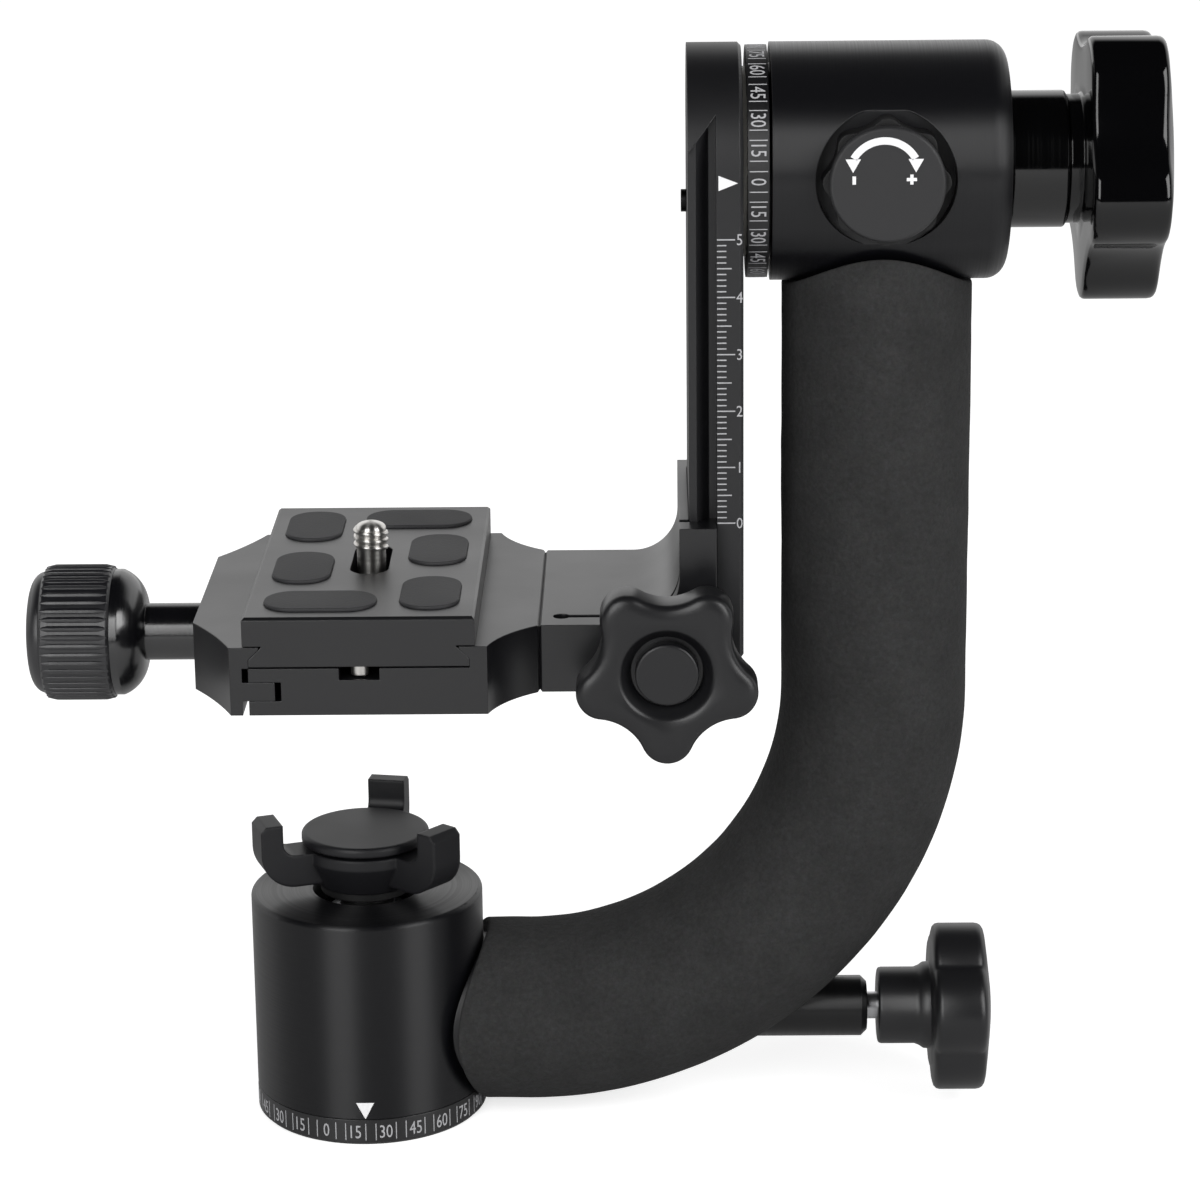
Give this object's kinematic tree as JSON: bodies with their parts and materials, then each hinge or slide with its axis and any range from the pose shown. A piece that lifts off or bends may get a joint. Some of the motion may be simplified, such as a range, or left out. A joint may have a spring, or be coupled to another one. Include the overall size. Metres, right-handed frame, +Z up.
{
  "type": "gimbal tripod head",
  "caption": "Gimbal tripod head with a panning base, bent side arm in a foam sleeve, tilting swing arm, sliding platform and a screw clamp that holds a camera plate.",
  "frame": {"origin": "mouth of the tripod socket, at the centre of the base's underside, on the pan axis", "axes": "+Z up along the pan axis, +X from the pan axis to the upright side arm along the tilt axis, -Y is the side of the platform's hand knob"},
  "size_m": [0.2038, 0.0742, 0.2013],
  "materials": {
    "anodised_black": "black anodised aluminium, satin",
    "anodised_ring": "black anodised aluminium with white marks",
    "tube": "black anodised aluminium tube",
    "steel": "bright steel",
    "chrome": "chromed steel",
    "black_steel": "black oxide steel",
    "brass": "plain brass",
    "foam": "black closed-cell foam rubber",
    "knob_plastic": "black moulded plastic",
    "satin_plastic": "black moulded plastic, satin",
    "rubber_pads": "black rubber with a fine grain",
    "acetal": "plain acetal plastic"
  },
  "bodies": {
    "base": {"base_plate": "anodised_black", "pan_scale_ring": "anodised_ring", "tripod_bush": "steel", "pan_spindle": "steel", "spindle_screws": "black_steel", "pan_inner_races": "steel", "pan_bearing_nut": "black_steel"},
    "side_arm": {"pan_housing": "anodised_black", "outer_races": "steel", "bearing_balls": "chrome", "pan_bearing_spacer": "tube", "circlips": "black_steel", "arm_tube": "tube", "foam_sleeve": "foam", "tube_screws": "black_steel", "pan_lock_sleeve": "anodised_black", "tilt_housing": "anodised_black", "tilt_scale_ring": "anodised_ring", "tilt_thrust_washer": "acetal", "tilt_bearing_spacer": "tube"},
    "tension_washer": {"tension_washer": "anodised_black"},
    "tension_nut": {"tension_nut": "anodised_black", "tension_nut_cap": "anodised_black"},
    "pan_lock_pad": {"pan_lock_pad": "brass"},
    "pan_lock_knob": {"pan_lock_screw": "chrome", "pan_lock_knob": "satin_plastic", "pan_lock_cap": "satin_plastic"},
    "friction_pad": {"friction_pad": "brass", "friction_springs": "steel"},
    "friction_knob": {"friction_screw": "steel", "friction_knob": "satin_plastic", "friction_cap": "anodised_ring"},
    "swing_arm": {"swing_arm": "anodised_black", "rail_stop_screws": "steel", "tilt_shaft": "steel", "swing_arm_screws": "black_steel", "tilt_inner_races": "steel", "tilt_bearing_nut": "black_steel"},
    "tilt_lock_washer": {"tilt_lock_washer": "steel"},
    "tilt_lock_knob": {"tilt_lock_collar": "anodised_black", "tilt_lock_stud": "steel", "tilt_lock_knob": "knob_plastic", "tilt_lock_cap": "knob_plastic"},
    "platform": {"platform_bracket": "anodised_black", "bracket_screws": "black_steel", "clamp_body": "anodised_black"},
    "platform_lock_washer": {"platform_lock_washer": "steel"},
    "platform_lock_knob": {"platform_lock_screw": "steel", "platform_lock_knob": "satin_plastic", "platform_lock_cap": "satin_plastic"},
    "clamp_jaw": {"clamp_jaw": "anodised_black"},
    "clamp_knob": {"clamp_knob": "anodised_black", "clamp_knob_collar": "anodised_black", "clamp_screw": "steel"},
    "camera_plate": {"qr_plate": "anodised_black", "plate_pads": "rubber_pads", "plate_guard_screws": "steel"},
    "camera_screw_clip": {"camera_screw_clip": "steel"},
    "camera_screw": {"camera_screw": "chrome"}
  },
  "joints": [
    {"name": "pan", "type": "hinge", "parent": "base", "child": "side_arm", "pos_m": [0, 0, 0], "axis": [0, 0, 1], "continuous": true},
    {"name": "tension_nut_lift", "type": "slide", "parent": "base", "child": "tension_washer", "axis": [0, 0, 1], "range_m": [0, 0.0015]},
    {"name": "tension_nut_turn", "type": "hinge", "parent": "tension_washer", "child": "tension_nut", "pos_m": [0, 0, 0.047], "axis": [0, 0, 1], "range_deg": [0, 360]},
    {"name": "pan_lock_release", "type": "slide", "parent": "side_arm", "child": "pan_lock_pad", "axis": [1, 0, 0], "range_m": [0, 0.0008]},
    {"name": "pan_lock_turn", "type": "hinge", "parent": "pan_lock_pad", "child": "pan_lock_knob", "pos_m": [0.1, 0, 0.0182], "axis": [1, 0, 0], "range_deg": [0, 360]},
    {"name": "friction_release", "type": "slide", "parent": "side_arm", "child": "friction_pad", "axis": [0, -1, 0], "range_m": [0, 0.001]},
    {"name": "friction_turn", "type": "hinge", "parent": "friction_pad", "child": "friction_knob", "pos_m": [0.0933, -0.02, 0.1769], "axis": [0, -1, 0], "range_deg": [0, 360]},
    {"name": "tilt", "type": "hinge", "parent": "side_arm", "child": "swing_arm", "pos_m": [0.0645, 0, 0.1769], "axis": [1, 0, 0], "continuous": true},
    {"name": "tilt_lock_release", "type": "slide", "parent": "swing_arm", "child": "tilt_lock_washer", "axis": [1, 0, 0], "range_m": [0, 0.00125]},
    {"name": "tilt_lock_turn", "type": "hinge", "parent": "tilt_lock_washer", "child": "tilt_lock_knob", "pos_m": [0.12, 0, 0.1769], "axis": [1, 0, 0], "range_deg": [0, 360]},
    {"name": "platform_slide", "type": "slide", "parent": "swing_arm", "child": "platform", "axis": [0, 0, 1], "range_m": [0, 0.05]},
    {"name": "platform_lock_release", "type": "slide", "parent": "platform", "child": "platform_lock_washer", "axis": [0, -1, 0], "range_m": [0, 0.001]},
    {"name": "platform_lock_turn", "type": "hinge", "parent": "platform_lock_washer", "child": "platform_lock_knob", "pos_m": [0.0555, -0.03, 0.0947], "axis": [0, -1, 0], "range_deg": [0, 360]},
    {"name": "clamp_open", "type": "slide", "parent": "platform", "child": "clamp_jaw", "axis": [-1, 0, 0], "range_m": [0, 0.004]},
    {"name": "clamp_knob_turn", "type": "hinge", "parent": "clamp_jaw", "child": "clamp_knob", "pos_m": [-0.045, 0, 0.09185], "axis": [-1, 0, 0], "range_deg": [0, 1800]},
    {"name": "camera_plate_slide", "type": "slide", "parent": "platform", "child": "camera_plate", "axis": [0, 1, 0], "range_m": [-0.0065, 0.0065]},
    {"name": "camera_screw_slide", "type": "slide", "parent": "camera_plate", "child": "camera_screw_clip", "axis": [0, 1, 0], "range_m": [-0.006, 0.006]},
    {"name": "camera_screw_turn", "type": "hinge", "parent": "camera_screw_clip", "child": "camera_screw", "pos_m": [0.0026, 0, 0.1], "axis": [0, 0, 1], "continuous": true}
  ],
  "couplings": [
    {"joint": "tension_nut_turn", "follows": "tension_nut_lift", "rad_per_m": 4188.8},
    {"joint": "pan_lock_turn", "follows": "pan_lock_release", "rad_per_m": 7854},
    {"joint": "friction_turn", "follows": "friction_release", "rad_per_m": 6283.2},
    {"joint": "tilt_lock_turn", "follows": "tilt_lock_release", "rad_per_m": 5026.5},
    {"joint": "platform_lock_turn", "follows": "platform_lock_release", "rad_per_m": 6283.2},
    {"joint": "clamp_knob_turn", "follows": "clamp_open", "rad_per_m": 7854}
  ]
}
